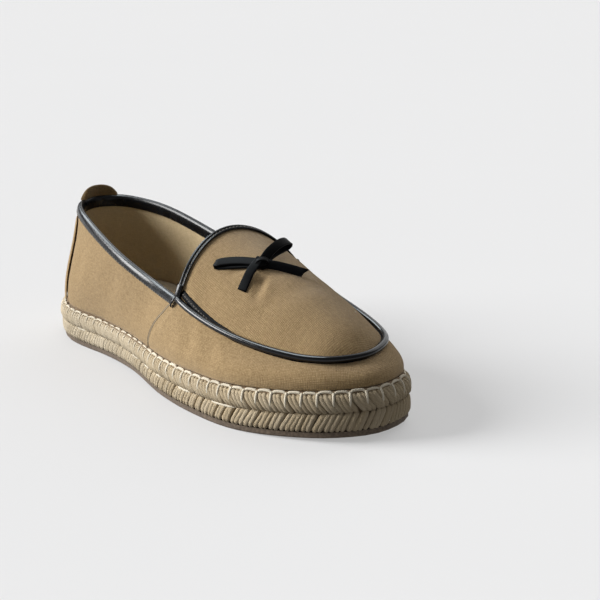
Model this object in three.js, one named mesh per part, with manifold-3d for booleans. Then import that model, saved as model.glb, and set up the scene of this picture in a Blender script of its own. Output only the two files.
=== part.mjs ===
import * as THREE from 'three';
import { mergeVertices } from 'three/addons/utils/BufferGeometryUtils.js';
import Module from 'manifold-3d';

const wasm = await Module();
wasm.setup();

// A right-foot loafer espadrille. Millimetres, +X to the toe, +Y to the inner side, +Z up, floor at zero.

// Sole
const soleLength = 280;
const heelHalfWidth = 37;
const waistOuter = 40.4;
const waistInner = 27;
const ballOuter = 48.4;
const ballInner = 46.7;
const toeOuter = 32.2;
const toeInner = 34;
const toeTipOffset = 1.1;
const heelStack = 19.4;
const toeStack = 22.9;
const archLift = 1.2;
const archCentre = 0.4;
const archReach = 0.17;
const toeSpring = 2.9;
const toeSpringStart = 0.74;
const stackGainStart = 0.45;
const outsoleThickness = 3;
const outsoleInset = 0.3;
const outsoleBevel = 0.6;
const outsoleBevelHeight = 0.8;
const waistTuck = 0.8;
const insoleThickness = 3;
const insoleBevel = 0.4;

// Braid of the sole side
const braidStrands = 84;
const braidSwell = 1.1;
const braidOverhang = 1;
const strandGroove = 0.8;
const strandSlant = 8;

// Upper
const wall = 1.8;
const featherInset = 2.6;
const collarBack = -126.6;
const collarBackHeight = 75.6;
const collarHalfWidth = 32.6;
const junctionX = 27.5;
const junctionHeight = 51.6;
const apronHalfWidth = 37.7;
const tongueHeight = 82;
const tongueLean = 7.5;
const apronTipX = 125.3;
const apronTipY = 4;
const toeSeamHeight = 36;
const quarterSwell = 3;
const vampSwell = 4.6;
const sideSeamSweep = 25;
const sideSeamStep = 0.7;
const sideSeamFade = 6;

// Trims
const clearance = 0.3;
const bindingThickness = 1;
const bindingOutside = 4.4;
const bindingInside = 6.4;
const bindingEndGap = 0.6;
const tongueBand = 4.2;
const pipingDiameter = 3.4;
const pipingSeat = 1.05;
const counterThickness = 1.1;
const counterSeat = 0.6;
const counterTopSpan = 25.5;
const counterFootSpan = 55;
const counterTopGap = 6.4;
const counterFootShare = 0.02;
const tabSpan = 25;
const tabHeight = 5.8;
const tabThickness = 3.4;
const tabEndShare = 0.15;

// Bow
const laceWidth = 4.8;
const laceThickness = 1;
const bowX = 58.5;
const bowY = -6.5;
const loopReach = 27;
const loopHeight = 4.4;
const tailReach = 26;
const knotLength = 8;
const knotWidth = 7;
const knotHeight = 5.6;

// Mesh fineness
const collarColumns = 28;
const seamColumns = 26;
const wallRows = 6;
const apronSpans = 12;
const pipingSides = 4;
const tabSpans = 12;
const counterSpans = 14;
const counterRows = 4;
const soleColumns = 96;
const insoleColumns = 64;
const pipingStartColumns = 3;
const knotColumns = 12;
const knotRows = 8;
const curveSamples = 160;
const searchSteps = 40;
const lapShare = 0.0015;

// Probe distances, as shares of the run that they are read along
const outlineProbe = 0.004;
const wallProbe = 0.003;
const riseProbe = 0.02;
const edgeProbe = 0.1;
const tongueProbe = 0.04;

const up = new THREE.Vector3(0, 0, 1);

// Value of a named column of a table at a place along it, on a smooth curve through the rows.
function column(rows, name, along) {
  const last = rows.length - 1;
  const place = THREE.MathUtils.clamp(along, rows[0].along, rows[last].along);
  let i = 0;
  while (i < last - 1 && rows[i + 1].along < place) {
    i += 1;
  }
  const slope = (k) => {
    const a = rows[Math.max(k - 1, 0)];
    const b = rows[Math.min(k + 1, last)];
    return (b[name] - a[name]) / (b.along - a.along);
  };
  const span = rows[i + 1].along - rows[i].along;
  const t = (place - rows[i].along) / span;
  const t2 = t * t;
  const t3 = t2 * t;
  return (2 * t3 - 3 * t2 + 1) * rows[i][name] + (t3 - 2 * t2 + t) * span * slope(i)
    + (3 * t2 - 2 * t3) * rows[i + 1][name] + (t3 - t2) * span * slope(i + 1);
}

// Stretch of a curve between two of its parameters, read by its share of arc length.
function stretch(curve, from, to) {
  const points = [curve.getPoint(from)];
  const lengths = [0];
  for (let i = 1; i <= curveSamples; i += 1) {
    points.push(curve.getPoint(from + (to - from) * i / curveSamples));
    lengths.push(lengths[i - 1] + points[i].distanceTo(points[i - 1]));
  }
  const read = (share) => {
    const target = THREE.MathUtils.clamp(share, 0, 1) * lengths[curveSamples];
    let i = 1;
    while (i < curveSamples && lengths[i] < target) {
      i += 1;
    }
    const t = (target - lengths[i - 1]) / (lengths[i] - lengths[i - 1]);
    return points[i - 1].clone().lerp(points[i], t);
  };
  read.span = lengths[curveSamples];
  return read;
}

// Joins an outer-side and an inner-side stretch: 0 at the heel, 0.5 at the toe tip, 1 at the heel again.
function around(outerSide, innerSide) {
  return (p) => {
    const turn = ((p % 1) + 1) % 1;
    return turn <= 0.5 ? outerSide(2 * turn) : innerSide(2 * (1 - turn));
  };
}

// Level outward direction of a loop.
function outwardOf(loop, p) {
  const tangent = loop(p + outlineProbe).sub(loop(p - outlineProbe));
  return new THREE.Vector3(tangent.y, -tangent.x, 0).normalize();
}

// Sole outline, heel to toe and back: along is a share of soleLength, across a share of the named width.
const outlineRows = [
  { along: 0, across: 0, of: heelHalfWidth },
  { along: 0.035, across: -0.6, of: heelHalfWidth },
  { along: 0.13, across: -1, of: heelHalfWidth },
  { along: 0.28, across: -1.01, of: heelHalfWidth },
  { along: 0.42, across: -1, of: waistOuter },
  { along: 0.55, across: -0.95, of: ballOuter },
  { along: 0.67, across: -1, of: ballOuter },
  { along: 0.8, across: -0.93, of: ballOuter },
  { along: 0.9, across: -1, of: toeOuter },
  { along: 0.968, across: -0.52, of: toeOuter },
  { along: 1, across: 1, of: toeTipOffset },
  { along: 0.975, across: 0.72, of: toeInner },
  { along: 0.91, across: 1.02, of: toeInner },
  { along: 0.82, across: 0.93, of: ballInner },
  { along: 0.72, across: 1, of: ballInner },
  { along: 0.58, across: 0.81, of: ballInner },
  { along: 0.42, across: 1, of: waistInner },
  { along: 0.28, across: 0.86, of: heelHalfWidth },
  { along: 0.13, across: 1, of: heelHalfWidth },
  { along: 0.035, across: 0.6, of: heelHalfWidth },
];
const outlineCurve = new THREE.CatmullRomCurve3(
  outlineRows.map((row) => new THREE.Vector3((row.along - 0.5) * soleLength, row.across * row.of, 0)),
  true,
  'centripetal',
);
const outlineToe = outlineRows.findIndex((row) => row.along === 1) / outlineRows.length;
const outline = around(stretch(outlineCurve, 0, outlineToe), stretch(outlineCurve, 1, outlineToe));

function lengthShare(x) {
  return THREE.MathUtils.clamp(x / soleLength + 0.5, 0, 1);
}

// Underside: flat under the heel and the ball, raised under the arch and again at the toe.
function archAt(x) {
  const share = (lengthShare(x) - archCentre) / archReach;
  return Math.max(0, 1 - share * share) ** 1.5;
}

// Share of the way from a place along the sole to the toe tip.
function towardsToe(x, start) {
  return Math.max(0, (lengthShare(x) - start) / (1 - start));
}

function springAt(x) {
  return toeSpring * towardsToe(x, toeSpringStart) ** 2;
}

function undersideAt(x) {
  return archLift * archAt(x) + springAt(x);
}

function soleTopAt(x) {
  const stack = heelStack + (toeStack - heelStack) * towardsToe(x, stackGainStart);
  return stack + springAt(x) + 0.4 * archLift * archAt(x);
}

function insetOutline(p, inset) {
  return outline(p).addScaledVector(outwardOf(outline, p), -inset);
}

function meshFrom(name, positions, triangles, material) {
  const geometry = new THREE.BufferGeometry();
  geometry.setAttribute('position', new THREE.Float32BufferAttribute(positions, 3));
  geometry.setIndex(triangles);
  geometry.computeVertexNormals();
  const mesh = new THREE.Mesh(geometry, material);
  mesh.name = name;
  return mesh;
}

function flatten(points) {
  return points.flatMap((point) => [point.x, point.y, point.z]);
}

// Triangles of a quad strip between two rows of indices.
function strip(lower, upper, triangles) {
  for (let i = 0; i < lower.length - 1; i += 1) {
    triangles.push(lower[i], lower[i + 1], upper[i + 1], lower[i], upper[i + 1], upper[i]);
  }
}

// Solid of stacked loops, bottom to top, closed by strips that run from side to side of the shoe.
function stackedSolid(name, loops, material) {
  const count = loops[0].length;
  const triangles = [];
  const index = (ring, i) => ring * count + (i % count);
  const ringIndices = (ring) => Array.from({ length: count + 1 }, (unused, i) => index(ring, i));
  for (let ring = 0; ring < loops.length - 1; ring += 1) {
    strip(ringIndices(ring), ringIndices(ring + 1), triangles);
  }
  const cap = (ring, flip) => {
    for (let i = 0; i < count / 2; i += 1) {
      const near = [index(ring, i), index(ring, i + 1)];
      const far = [index(ring, count - i - 1), index(ring, count - i)];
      const faces = [[near[0], near[1], far[0]], [near[0], far[0], far[1]]];
      const real = faces.filter((face) => new Set(face).size === face.length);
      real.forEach((face) => triangles.push(...(flip ? face.reverse() : face)));
    }
  };
  cap(0, true);
  cap(loops.length - 1, false);
  return meshFrom(name, flatten(loops.flat()), triangles, material);
}

// Solid between two skins that share a grid of stations; closed runs join the last station to the first.
function bandSolid(name, stations, closed, material) {
  const points = [];
  const triangles = [];
  stations.forEach((station) => points.push(...station.outer, ...station.inner));
  const chain = stations[0].outer.length;
  const row = (i, skin) => {
    const start = (i % stations.length) * 2 * chain + (skin === 'inner' ? chain : 0);
    return Array.from({ length: chain }, (unused, k) => start + k);
  };
  const spans = closed ? stations.length : stations.length - 1;
  for (let i = 0; i < spans; i += 1) {
    const outerRows = [row(i, 'outer'), row(i + 1, 'outer')];
    const innerRows = [row(i, 'inner'), row(i + 1, 'inner')];
    strip(outerRows[0], outerRows[1], triangles);
    strip(innerRows[1], innerRows[0], triangles);
    const last = chain - 1;
    strip([innerRows[0][0], outerRows[0][0]], [innerRows[1][0], outerRows[1][0]], triangles);
    strip([outerRows[0][last], innerRows[0][last]], [outerRows[1][last], innerRows[1][last]], triangles);
  }
  if (!closed) {
    strip(row(0, 'inner'), row(0, 'outer'), triangles);
    strip(row(spans, 'outer'), row(spans, 'inner'), triangles);
  }
  let volume = 0;
  for (let i = 0; i < triangles.length; i += 3) {
    const [a, b, c] = triangles.slice(i, i + 3).map((k) => points[k]);
    volume += a.dot(b.clone().cross(c));
  }
  return meshFrom(name, flatten(points), volume > 0 ? triangles : triangles.reverse(), material);
}

function paint(color, roughness) {
  return new THREE.MeshStandardMaterial({ color, roughness, metalness: 0 });
}

// Outsole

function outsole() {
  const loops = [
    { inset: outsoleInset + outsoleBevel, height: 0 },
    { inset: outsoleInset, height: outsoleBevelHeight },
    { inset: outsoleInset, height: outsoleThickness },
  ].map((ring) => Array.from({ length: soleColumns }, (unused, i) => {
    const p = i / soleColumns;
    const base = outline(p);
    const point = insetOutline(p, ring.inset + waistTuck * archAt(base.x));
    return point.setZ(undersideAt(base.x) + ring.height);
  }));
  return stackedSolid('outsole', loops, paint(0x6b5140, 0.75));
}

// Midsole: two rows of slanted strands with a groove between them. Reach is a share of braidSwell,
// slant of strandSlant and rib of strandGroove; height is a share of the stack above the outsole.
const braidRows = [
  { height: 0, reach: -0.4, slant: 0, rib: 0 },
  { height: 0.08, reach: 0.4, slant: 0.1, rib: 0.6 },
  { height: 0.26, reach: 1, slant: 0.55, rib: 1 },
  { height: 0.42, reach: 0.4, slant: 1, rib: 0.6 },
  { height: 0.48, reach: -0.4, slant: 1, rib: 0 },
  { height: 0.54, reach: 0.4, slant: 0.95, rib: 0.6 },
  { height: 0.74, reach: 0.9, slant: 0.5, rib: 1 },
  { height: 0.94, reach: 0.2, slant: 0.05, rib: 0.5 },
  { height: 1, reach: -0.8, slant: 0, rib: 0 },
];

function midsole() {
  const count = 2 * braidStrands;
  const perimeter = 2 * soleLength + ballOuter + ballInner;
  const loops = braidRows.map((row) => Array.from({ length: count }, (unused, i) => {
    const p = i / count + row.slant * strandSlant / perimeter;
    const base = outline(p);
    const valley = i % 2 === 1 ? strandGroove * row.rib : 0;
    const tuck = waistTuck * archAt(base.x) * (1 - row.height);
    const point = insetOutline(p, braidSwell * (1 - row.reach) - braidOverhang + valley + tuck);
    const low = undersideAt(base.x) + outsoleThickness + clearance;
    return point.setZ(low + (soleTopAt(base.x) - low) * row.height);
  }));
  return stackedSolid('midsole', loops, paint(0xd6c7a5, 0.9));
}

// Collar edge: along runs from the heel to the side junction, width is a share of collarHalfWidth and
// rise a share of the height gained over the junction.
const collarRows = [
  { along: 0.035, width: 0.39, rise: 0.985 },
  { along: 0.11, width: 0.61, rise: 0.94 },
  { along: 0.25, width: 0.81, rise: 0.83 },
  { along: 0.55, width: 1, rise: 0.42 },
  { along: 0.8, width: 1.02, rise: 0.08 },
];

function collarPoint(along, across, rise) {
  const x = collarBack + (junctionX - collarBack) * along;
  return new THREE.Vector3(x, across, junctionHeight + (collarBackHeight - junctionHeight) * rise);
}

function collarSide(side) {
  return collarRows.map((row) => collarPoint(row.along, side * row.width * collarHalfWidth, row.rise));
}

const collarCurve = new THREE.CatmullRomCurve3([
  collarPoint(1, -apronHalfWidth, 0),
  ...collarSide(-1).reverse(),
  collarPoint(0, 0, 1),
  ...collarSide(1),
  collarPoint(1, apronHalfWidth, 0),
], false, 'centripetal');
const collarOuter = stretch(collarCurve, 0.5, 0);
const collarInner = stretch(collarCurve, 0.5, 1);

// Apron seam: along runs from the junction to the tip, outer and inner are shares of apronHalfWidth and
// drop a share of the height lost towards the toe.
const seamRows = [
  { along: 0.12, outer: 1.01, inner: 1.03, drop: 0.22 },
  { along: 0.33, outer: 0.965, inner: 1.01, drop: 0.53 },
  { along: 0.56, outer: 0.84, inner: 0.965, drop: 0.78 },
  { along: 0.76, outer: 0.66, inner: 0.84, drop: 0.92 },
  { along: 0.88, outer: 0.5, inner: 0.68, drop: 0.97 },
  { along: 0.96, outer: 0.27, inner: 0.41, drop: 1 },
];

function seamPoint(along, across, drop) {
  const x = junctionX + (apronTipX - junctionX) * along;
  return new THREE.Vector3(x, across, junctionHeight - (junctionHeight - toeSeamHeight) * drop);
}

const seamCurve = new THREE.CatmullRomCurve3([
  seamPoint(0, -apronHalfWidth, 0),
  ...seamRows.map((row) => seamPoint(row.along, -row.outer * apronHalfWidth, row.drop)),
  seamPoint(1, apronTipY, 1),
  ...seamRows.map((row) => seamPoint(row.along, row.inner * apronHalfWidth, row.drop)).reverse(),
  seamPoint(0, apronHalfWidth, 0),
], false, 'centripetal');
const seamOuter = stretch(seamCurve, 0, 0.5);
const seamInner = stretch(seamCurve, 1, 0.5);

// The wall of the upper rises from the feather edge on the sole to the collar and the apron seam.
// Halves are read by a share that is 0 at the heel, junctionShare at the side seam and 1 at the toe.
const junctionShare = collarColumns / (collarColumns + seamColumns);
const footJunction = shareAtX(junctionX - sideSeamSweep);

function shareAtX(x) {
  let low = 0;
  let high = 0.5;
  for (let i = 0; i < searchSteps; i += 1) {
    const middle = (low + high) / 2;
    if (outline(middle).x < x) {
      low = middle;
    } else {
      high = middle;
    }
  }
  return 2 * low;
}

function footPoint(p) {
  const share = halfShare(p);
  const place = share < junctionShare
    ? share / junctionShare * footJunction
    : footJunction + (share - junctionShare) / (1 - junctionShare) * (1 - footJunction);
  const at = p <= 0.5 ? place / 2 : 1 - place / 2;
  const point = insetOutline(at, featherInset);
  return { point: point.setZ(soleTopAt(point.x) + clearance), outward: outwardOf(outline, at) };
}

function halfShare(p) {
  return p <= 0.5 ? 2 * p : 2 * (1 - p);
}

function topPoint(p) {
  const share = halfShare(p);
  const outerSide = p <= 0.5;
  if (share < junctionShare) {
    return (outerSide ? collarOuter : collarInner)(share / junctionShare);
  }
  return (outerSide ? seamOuter : seamInner)((share - junctionShare) / (1 - junctionShare));
}

// Shape of the wall: foot and head reaches are shares of the swell, rises are shares of its height.
const wallRowsTable = [
  { along: 0, footRise: 0.35, footReach: 0.2, headDrop: 0.35, headReach: 0.5, swell: quarterSwell },
  { along: 0.25, footRise: 0.35, footReach: 0.5, headDrop: 0.35, headReach: 0.9, swell: quarterSwell },
  { along: 0.5, footRise: 0.35, footReach: 0.6, headDrop: 0.35, headReach: 1, swell: quarterSwell },
  { along: 0.7, footRise: 0.5, footReach: 0.45, headDrop: 0.35, headReach: 1, swell: vampSwell },
  { along: 0.85, footRise: 0.55, footReach: 0.4, headDrop: 0.25, headReach: 1, swell: vampSwell },
  { along: 1, footRise: 0.6, footReach: 0.35, headDrop: 0.15, headReach: 1, swell: vampSwell },
];

function wallPoint(p, s) {
  const foot = footPoint(p);
  const top = topPoint(p);
  const share = halfShare(p);
  const height = top.z - foot.point.z;
  const at = (name) => column(wallRowsTable, name, share);
  const low = foot.point.clone().addScaledVector(up, at('footRise') * height);
  low.addScaledVector(foot.outward, at('footReach') * at('swell'));
  const high = top.clone().addScaledVector(up, -at('headDrop') * height);
  high.addScaledVector(foot.outward, at('headReach') * at('swell'));
  const point = new THREE.CubicBezierCurve3(foot.point, low, high, top).getPoint(s);
  const lapped = share > junctionShare ? sideSeamStep * (1 - s ** sideSeamFade) : 0;
  return point.addScaledVector(foot.outward, lapped);
}

function wallNormal(p, s) {
  const along = wallPoint(p + wallProbe, s).sub(wallPoint(p - wallProbe, s));
  const high = Math.min(s + riseProbe, 1);
  const rise = wallPoint(p, high).sub(wallPoint(p, high - 2 * riseProbe));
  return along.cross(rise).normalize();
}

// Apron: rows from the tongue edge to the toe. Rise is a share of the tongue's rise over the junction,
// sweep a share of tongueLean.
const apronRows = [
  { along: 0, rise: 1, sweep: 1, round: 0.74 },
  { along: 0.1, rise: 0.98, sweep: 0.8, round: 0.8 },
  { along: 0.27, rise: 0.9, sweep: 0.4, round: 0.9 },
  { along: 0.48, rise: 0.76, sweep: 0.1, round: 0.95 },
  { along: 0.65, rise: 0.56, sweep: 0, round: 1 },
  { along: 0.78, rise: 0.36, sweep: 0, round: 1 },
  { along: 0.9, rise: 0.15, sweep: 0, round: 1 },
  { along: 1, rise: 0, sweep: 0, round: 1 },
];

function apronPoint(along, across) {
  const dome = 1 - (2 * across - 1) ** 2;
  const point = seamOuter(along).lerp(seamInner(along), across);
  const rise = (tongueHeight - junctionHeight) * column(apronRows, 'rise', along);
  point.z += rise * Math.max(dome, 0) ** column(apronRows, 'round', along);
  point.x -= tongueLean * column(apronRows, 'sweep', along) * dome;
  return point;
}

// Share across the apron of a grid line, closer together where the sides are steep.
function acrossAt(k) {
  return (1 - Math.cos(Math.PI * k / apronSpans)) / 2;
}

// Vertex grid of the upper's outer skin, with its faces and its two open edges.
function upperSkin() {
  const half = [];
  for (let i = 0; i <= collarColumns; i += 1) {
    half.push(i / collarColumns * junctionShare);
  }
  half.push(junctionShare + lapShare);
  for (let i = 1; i <= seamColumns; i += 1) {
    half.push(junctionShare + i / seamColumns * (1 - junctionShare));
  }
  const back = half.slice(1, -1).reverse();
  const turns = [...half.map((share) => share / 2), ...back.map((share) => 1 - share / 2)];
  const count = turns.length;
  const points = [];
  const triangles = [];
  turns.forEach((p) => {
    for (let j = 0; j <= wallRows; j += 1) {
      points.push(wallPoint(p, j / wallRows));
    }
  });
  const wallIndex = (i, j) => (i % count) * (wallRows + 1) + j;
  for (let j = 0; j < wallRows; j += 1) {
    const low = Array.from({ length: count + 1 }, (unused, i) => wallIndex(i, j));
    const high = Array.from({ length: count + 1 }, (unused, i) => wallIndex(i, j + 1));
    strip(low, high, triangles);
  }
  const toe = half.length - 1;
  const bridges = [];
  for (let i = collarColumns; i < toe; i += 1) {
    const along = (half[i] - junctionShare) / (1 - junctionShare);
    const bridge = [wallIndex(i, wallRows)];
    for (let k = 1; k < apronSpans; k += 1) {
      points.push(apronPoint(along, acrossAt(k)));
      bridge.push(points.length - 1);
    }
    bridge.push(wallIndex(count - i, wallRows));
    bridges.push(bridge);
  }
  for (let i = 0; i < bridges.length - 1; i += 1) {
    strip(bridges[i + 1], bridges[i], triangles);
  }
  const lastBridge = bridges[bridges.length - 1];
  const tip = wallIndex(toe, wallRows);
  for (let k = 0; k < apronSpans; k += 1) {
    triangles.push(lastBridge[k], tip, lastBridge[k + 1]);
  }
  const footEdge = Array.from({ length: count }, (unused, i) => wallIndex(i, 0));
  const collarEdge = [];
  for (let i = count - collarColumns; i <= count + collarColumns; i += 1) {
    collarEdge.push(wallIndex(i, wallRows));
  }
  const openEdge = [...collarEdge, ...bridges[0].slice(1, -1)];
  return { points, triangles, footEdge, openEdge, tongueEdge: bridges[0] };
}

const skin = upperSkin();

function skinNormals() {
  const normals = skin.points.map(() => new THREE.Vector3());
  for (let i = 0; i < skin.triangles.length; i += 3) {
    const corners = skin.triangles.slice(i, i + 3);
    const [a, b, c] = corners.map((k) => skin.points[k]);
    const face = b.clone().sub(a).cross(c.clone().sub(a));
    corners.forEach((k) => normals[k].add(face));
  }
  return normals.map((normal) => normal.normalize());
}

const normals = skinNormals();

function upper() {
  const inner = skin.points.map((point, k) => point.clone().addScaledVector(normals[k], -wall));
  skin.footEdge.forEach((k) => inner[k].setZ(skin.points[k].z));
  const shift = skin.points.length;
  const triangles = [...skin.triangles];
  for (let i = 0; i < skin.triangles.length; i += 3) {
    const [a, b, c] = skin.triangles.slice(i, i + 3);
    triangles.push(a + shift, c + shift, b + shift);
  }
  const closedRow = (edge, offset) => [...edge, edge[0]].map((k) => k + offset);
  strip(closedRow(skin.footEdge, shift), closedRow(skin.footEdge, 0), triangles);
  strip(closedRow(skin.openEdge, 0), closedRow(skin.openEdge, shift), triangles);
  return meshFrom('upper', flatten([...skin.points, ...inner]), triangles, paint(0xb79c72, 0.95));
}

// Insole

function insole() {
  const inset = featherInset + wall + clearance;
  const loops = [
    { inset: inset + insoleBevel, height: 0 },
    { inset, height: insoleThickness / 2 },
    { inset: inset + 2 * insoleBevel, height: insoleThickness },
  ].map((ring) => Array.from({ length: insoleColumns }, (unused, i) => {
    const point = insetOutline(i / insoleColumns, ring.inset);
    return point.setZ(soleTopAt(point.x) + clearance + ring.height);
  }));
  return stackedSolid('insole', loops, paint(0xd9cfb9, 0.9));
}

// Binding folded over an edge: outside leg, crest and inside leg, clear of the wall by the clearance.
function foldOver(edge, outward, rise, legs) {
  const place = (out, high) => edge.clone().addScaledVector(outward, out).addScaledVector(rise, high);
  const near = clearance;
  const far = clearance + bindingThickness;
  return {
    outer: [
      legs.outside.clone().addScaledVector(outward, far),
      place(far, 0),
      place(-wall / 2, far),
      place(-wall - far, 0),
      legs.inside.clone().addScaledVector(outward, -wall - far),
    ],
    inner: [
      legs.outside.clone().addScaledVector(outward, near),
      place(near, near),
      place(-wall / 2, near),
      place(-wall - near, near),
      legs.inside.clone().addScaledVector(outward, -wall - near),
    ],
  };
}

function collarStation(p) {
  const edge = wallPoint(p, 1);
  const outward = wallNormal(p, 1);
  const below = wallPoint(p, 1 - edgeProbe);
  const drop = edge.distanceTo(below) / edgeProbe;
  const rise = edge.clone().sub(below).normalize();
  return foldOver(edge, outward, rise, {
    outside: wallPoint(p, 1 - bindingOutside / drop),
    inside: wallPoint(p, 1 - bindingInside / drop),
  });
}

function collarBinding() {
  const end = collarColumns - bindingEndGap;
  const columns = [-end];
  for (let i = -collarColumns + 1; i < collarColumns; i += 1) {
    columns.push(i);
  }
  columns.push(end);
  const stations = columns.map((i) => collarStation((i / collarColumns * junctionShare / 2 + 1) % 1));
  return bandSolid('collar_binding', stations, false, paint(0x15171a, 0.35));
}

function tongueBinding() {
  const edges = skin.tongueEdge.slice(1, -1);
  const stations = edges.map((k, i) => {
    const across = acrossAt(i + 1);
    const edge = skin.points[k];
    const back = edge.clone().sub(apronPoint(tongueProbe, across)).normalize();
    const leg = edge.clone().addScaledVector(back, -tongueBand);
    return foldOver(edge, normals[k], back, { outside: leg, inside: leg });
  });
  return bandSolid('tongue_binding', stations, false, paint(0x15171a, 0.35));
}

// Piping laid along the apron seam, from one side junction round the toe to the other.
function apronPiping() {
  const first = collarColumns + pipingStartColumns;
  const last = skin.footEdge.length - first;
  const radius = pipingDiameter / 2;
  const points = [];
  for (let i = first; i <= last; i += 1) {
    const k = skin.footEdge[i] + wallRows;
    points.push(skin.points[k].clone().addScaledVector(normals[k], radius + pipingSeat));
  }
  const circle = new THREE.Shape().absarc(0, 0, radius, 0, 2 * Math.PI);
  const geometry = new THREE.ExtrudeGeometry(circle, {
    steps: points.length - 1,
    curveSegments: pipingSides,
    extrudePath: new THREE.CatmullRomCurve3(points),
  });
  const mesh = new THREE.Mesh(geometry, paint(0x101214, 0.3));
  mesh.name = 'apron_piping';
  return mesh;
}

// Outside counter round the heel, wider at its foot than at its top, ending below the binding.
function heelCounter() {
  const stations = [];
  const top = 1 - counterTopGap / (collarBackHeight - heelStack);
  for (let i = 0; i <= counterSpans; i += 1) {
    const turn = 2 * i / counterSpans - 1;
    const station = { outer: [], inner: [] };
    for (let j = 0; j <= counterRows; j += 1) {
      const s = THREE.MathUtils.lerp(counterFootShare, top, j / counterRows);
      const span = THREE.MathUtils.lerp(counterFootSpan, counterTopSpan, s);
      const p = (turn * span / collarOuter.span * junctionShare / 2 + 1) % 1;
      const point = wallPoint(p, s);
      const normal = wallNormal(p, s);
      station.outer.push(point.clone().addScaledVector(normal, counterSeat + counterThickness));
      station.inner.push(point.clone().addScaledVector(normal, counterSeat));
    }
    stations.push(station);
  }
  return bandSolid('heel_counter', stations, false, paint(0xc3aa7e, 0.95));
}

// Round-topped tab standing on the binding at the back of the collar.
function heelTab() {
  const stations = [];
  const seat = 2 * clearance + bindingThickness;
  const profile = [
    { height: 0, thick: 1 },
    { height: 0.6, thick: 1 },
    { height: 0.9, thick: 0.7 },
    { height: 1, thick: 0.25 },
  ];
  for (let i = 0; i <= tabSpans; i += 1) {
    const turn = -Math.cos(Math.PI * i / tabSpans);
    const p = (turn * tabSpan / 2 / collarOuter.span * junctionShare / 2 + 1) % 1;
    const edge = wallPoint(p, 1);
    const outward = wallNormal(p, 1);
    const rise = edge.clone().sub(wallPoint(p, 1 - edgeProbe)).normalize();
    const height = tabHeight * Math.max(tabEndShare, Math.sqrt(1 - Math.abs(turn) ** 3));
    const at = (row, sign) => edge.clone()
      .addScaledVector(rise, seat + height * row.height)
      .addScaledVector(outward, -wall / 2 + sign * row.thick * tabThickness / 2);
    stations.push({ outer: profile.map((row) => at(row, 1)), inner: profile.map((row) => at(row, -1)) });
  }
  return bandSolid('heel_tab', stations, false, paint(0x5c4a31, 0.9));
}

// Bow: a flat lace with a knot, two loops and two tails. Heading is in degrees from the toe direction,
// reach a share of loopReach or tailReach, and lift what its tip gains, as a share of loopHeight.
const bowArms = [
  { kind: 'loop', heading: -140, reach: 0.93, lift: 0.16 },
  { kind: 'loop', heading: 115, reach: 1, lift: 0.72 },
  { kind: 'tail', heading: -62, reach: 0.7, lift: 0.16 },
  { kind: 'tail', heading: 39, reach: 1, lift: 0.88 },
];

// Place of a loop or tail's middle line: reach is a share of the arm's reach, lift of loopHeight.
const loopRows = [
  { reach: 0, lift: 0.5 },
  { reach: 0.25, lift: 0.36 },
  { reach: 0.6, lift: 0.26 },
  { reach: 0.9, lift: 0.3 },
  { reach: 1, lift: 0.62 },
  { reach: 0.9, lift: 1 },
  { reach: 0.6, lift: 1.06 },
  { reach: 0.25, lift: 0.84 },
  { reach: 0, lift: 0.66 },
];
const tailRows = [
  { reach: 0, lift: 0.5 },
  { reach: 0.3, lift: 0.4 },
  { reach: 0.65, lift: 0.34 },
  { reach: 1, lift: 0.34 },
];

// Point of the apron's outer face under a place seen from above.
function apronUnder(x, y) {
  let along = 0.3;
  let across = 0.5;
  let point = apronPoint(along, across);
  for (let i = 0; i < searchSteps; i += 1) {
    along = THREE.MathUtils.clamp(along + (x - point.x) / soleLength * 2, 0, 1);
    across = THREE.MathUtils.clamp(across + (y - point.y) / apronHalfWidth / 3, 0, 1);
    point = apronPoint(along, across);
  }
  return point;
}

function apronNormal(x, y) {
  const step = 2;
  const along = apronUnder(x + step, y).sub(apronUnder(x - step, y));
  const across = apronUnder(x, y + step).sub(apronUnder(x, y - step));
  return along.cross(across).normalize();
}

function ribbon(arm) {
  const heading = THREE.MathUtils.degToRad(arm.heading);
  const direction = new THREE.Vector3(Math.cos(heading), Math.sin(heading), 0);
  const rows = arm.kind === 'loop' ? loopRows : tailRows;
  const reach = arm.reach * (arm.kind === 'loop' ? loopReach : tailReach);
  const centres = rows.map((row) => {
    const x = bowX + direction.x * reach * row.reach;
    const y = bowY + direction.y * reach * row.reach;
    const lift = loopHeight * (row.lift + arm.lift * row.reach ** 2);
    return apronUnder(x, y).addScaledVector(up, lift);
  });
  const middle = apronNormal(bowX + direction.x * reach / 2, bowY + direction.y * reach / 2);
  const side = middle.cross(direction).normalize();
  const curve = new THREE.CatmullRomCurve3(centres);
  const steps = 2 * rows.length;
  const stations = [];
  for (let i = 0; i <= steps; i += 1) {
    const centre = curve.getPointAt(i / steps);
    const flat = curve.getTangentAt(i / steps).cross(side).normalize();
    const at = (across, high) => centre.clone()
      .addScaledVector(side, across * laceWidth / 2)
      .addScaledVector(flat, high * laceThickness / 2);
    stations.push({ outer: [at(-1, 1), at(1, 1)], inner: [at(-1, -1), at(1, -1)] });
  }
  return bandSolid('ribbon', stations, false, paint(0x101113, 0.4)).geometry;
}

function solidOf(geometry) {
  const bare = new THREE.BufferGeometry();
  bare.setAttribute('position', geometry.getAttribute('position'));
  bare.setIndex(geometry.getIndex());
  const merged = mergeVertices(bare, 0.001);
  return new wasm.Manifold(new wasm.Mesh({
    numProp: 3,
    vertProperties: new Float32Array(merged.getAttribute('position').array),
    triVerts: new Uint32Array(merged.getIndex().array),
  }));
}

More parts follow.
